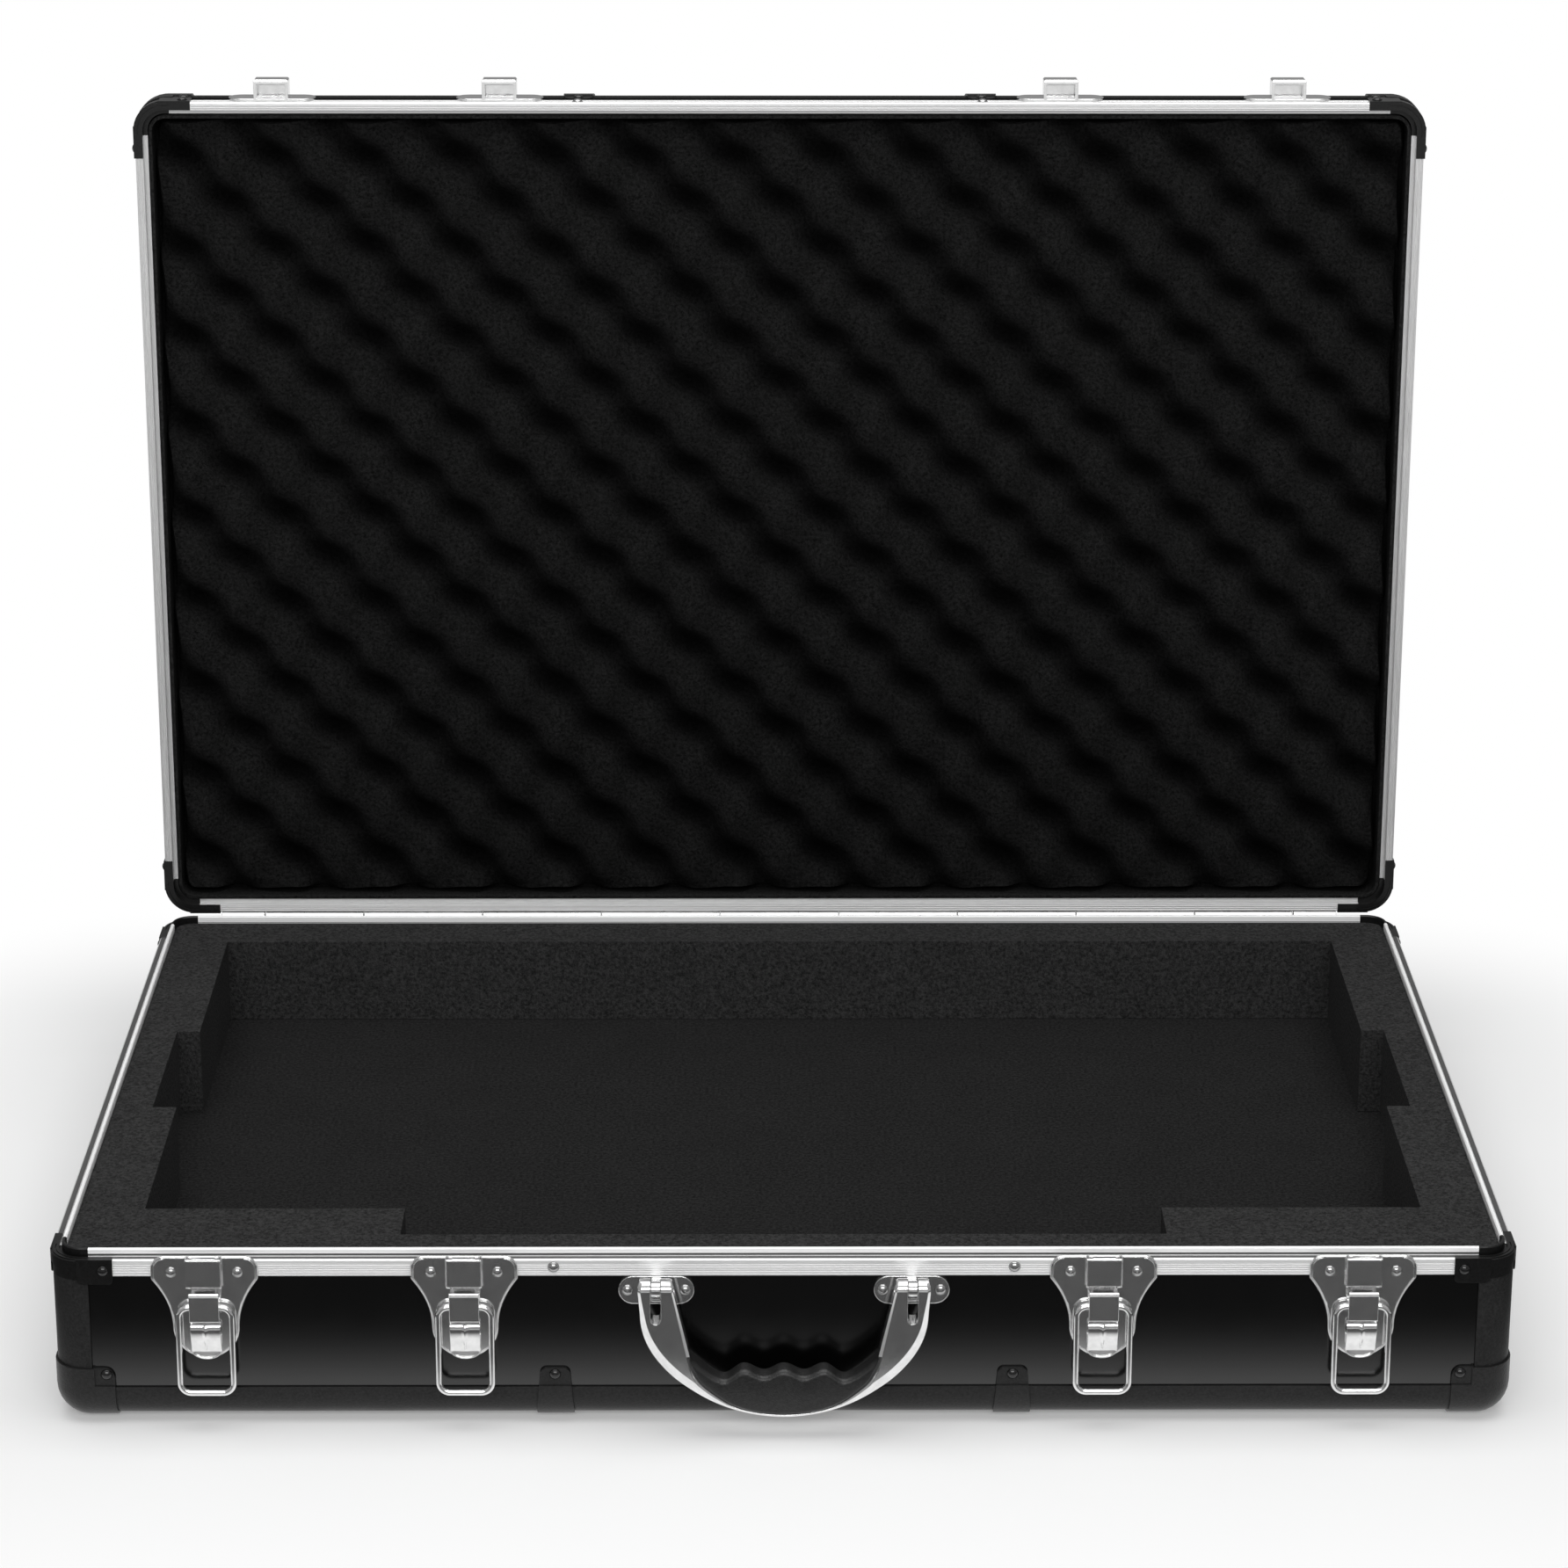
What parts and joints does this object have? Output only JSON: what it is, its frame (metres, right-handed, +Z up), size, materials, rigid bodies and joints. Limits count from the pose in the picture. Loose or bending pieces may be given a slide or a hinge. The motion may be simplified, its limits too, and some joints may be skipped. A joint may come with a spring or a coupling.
{
  "type": "hard case",
  "caption": "Foam-lined hard case with aluminium rims, a hinged lid on stops, draw latches and a swinging carrying handle, modelled open.",
  "frame": {"origin": "floor point under the middle of the base", "axes": "+Z up, -Y towards the front with the latches and the handle, +X to the right seen from the front"},
  "size_m": [0.6644, 0.5043, 0.533],
  "materials": {
    "rim_aluminium": "ribbed extrusion, satin",
    "edge_plastic": "black, fine leather grain",
    "panel_black": "black laminate, glossy",
    "fitting_black": "black, moulded, soft sheen",
    "chrome": "bright plating",
    "rivet_steel": "polished dark steel",
    "hinge_steel": "plated steel",
    "foam_grey": "open-cell foam, dark grey",
    "grip_black": "moulded, soft sheen"
  },
  "bodies": {
    "base": {"base_back_panel": "panel_black", "base_bottom_panel": "panel_black", "base_corner_caps": "edge_plastic", "base_corner_fittings": "fitting_black", "base_corner_strips": "edge_plastic", "base_edge_clips": "edge_plastic", "base_edge_strips": "edge_plastic", "base_foam": "foam_grey", "base_foam_floor": "foam_grey", "base_front_panel": "panel_black", "base_hardware_rivets": "rivet_steel", "base_left_panel": "panel_black", "base_right_panel": "panel_black", "base_rim_back": "rim_aluminium", "base_rim_front": "rim_aluminium", "base_rim_left": "rim_aluminium", "base_rim_right": "rim_aluminium", "base_rivets": "rivet_steel", "handle_bracket_left": "chrome", "handle_bracket_right": "chrome", "handle_pins": "chrome", "hinge_base_leaf": "hinge_steel", "hinge_pin": "hinge_steel", "latch_1_plate": "chrome", "latch_2_plate": "chrome", "latch_3_plate": "chrome", "latch_4_plate": "chrome", "latch_tongues": "chrome", "lid_stops": "hinge_steel"},
    "lid": {"lid_back_panel": "panel_black", "lid_catch_1": "chrome", "lid_catch_2": "chrome", "lid_catch_3": "chrome", "lid_catch_4": "chrome", "lid_corner_caps": "edge_plastic", "lid_corner_fittings": "fitting_black", "lid_corner_strips": "edge_plastic", "lid_edge_clips": "edge_plastic", "lid_edge_strips": "edge_plastic", "lid_foam": "foam_grey", "lid_front_panel": "panel_black", "lid_left_panel": "panel_black", "lid_right_panel": "panel_black", "lid_rim_back": "rim_aluminium", "lid_rim_front": "rim_aluminium", "lid_rim_left": "rim_aluminium", "lid_rim_right": "rim_aluminium", "lid_rivets": "rivet_steel", "lid_top_panel": "panel_black", "hinge_lid_leaf": "hinge_steel"},
    "hook_1": {"latch_1_hook": "chrome"},
    "hook_2": {"latch_2_hook": "chrome"},
    "hook_3": {"latch_3_hook": "chrome"},
    "hook_4": {"latch_4_hook": "chrome"},
    "bail_1": {"latch_1_bail": "chrome"},
    "bail_2": {"latch_2_bail": "chrome"},
    "bail_3": {"latch_3_bail": "chrome"},
    "bail_4": {"latch_4_bail": "chrome"},
    "handle": {"handle_bow": "chrome", "handle_grip": "grip_black"}
  },
  "joints": [
    {"name": "lid_hinge", "type": "hinge", "parent": "base", "child": "lid", "pos_m": [0, 0.2207, 0.0828], "axis": [1, 0, 0], "range_deg": [0, 91.2]},
    {"name": "latch_1_hook_slide", "type": "slide", "parent": "base", "child": "hook_1", "axis": [0, 0, 1], "range_m": [0, 0.005]},
    {"name": "latch_1_bail_swing", "type": "hinge", "parent": "hook_1", "child": "bail_1", "pos_m": [-0.26, -0.22335, 0.0605], "axis": [-1, 0, 0], "range_deg": [0, 150]},
    {"name": "latch_2_hook_slide", "type": "slide", "parent": "base", "child": "hook_2", "axis": [0, 0, 1], "range_m": [0, 0.005]},
    {"name": "latch_2_bail_swing", "type": "hinge", "parent": "hook_2", "child": "bail_2", "pos_m": [-0.1435, -0.22335, 0.0605], "axis": [-1, 0, 0], "range_deg": [0, 150]},
    {"name": "latch_3_hook_slide", "type": "slide", "parent": "base", "child": "hook_3", "axis": [0, 0, 1], "range_m": [0, 0.005]},
    {"name": "latch_3_bail_swing", "type": "hinge", "parent": "hook_3", "child": "bail_3", "pos_m": [0.1435, -0.22335, 0.0605], "axis": [-1, 0, 0], "range_deg": [0, 150]},
    {"name": "latch_4_hook_slide", "type": "slide", "parent": "base", "child": "hook_4", "axis": [0, 0, 1], "range_m": [0, 0.005]},
    {"name": "latch_4_bail_swing", "type": "hinge", "parent": "hook_4", "child": "bail_4", "pos_m": [0.26, -0.22335, 0.0605], "axis": [-1, 0, 0], "range_deg": [0, 150]},
    {"name": "handle_swing", "type": "hinge", "parent": "base", "child": "handle", "pos_m": [0, -0.2315, 0.073], "axis": [-1, 0, 0], "range_deg": [0, 115]}
  ],
  "couplings": [
    {"joint": "latch_1_hook_slide", "follows": "latch_1_bail_swing", "m_per_rad": 0.0019098},
    {"joint": "latch_2_hook_slide", "follows": "latch_2_bail_swing", "m_per_rad": 0.0019098},
    {"joint": "latch_3_hook_slide", "follows": "latch_3_bail_swing", "m_per_rad": 0.0019098},
    {"joint": "latch_4_hook_slide", "follows": "latch_4_bail_swing", "m_per_rad": 0.0019098}
  ]
}
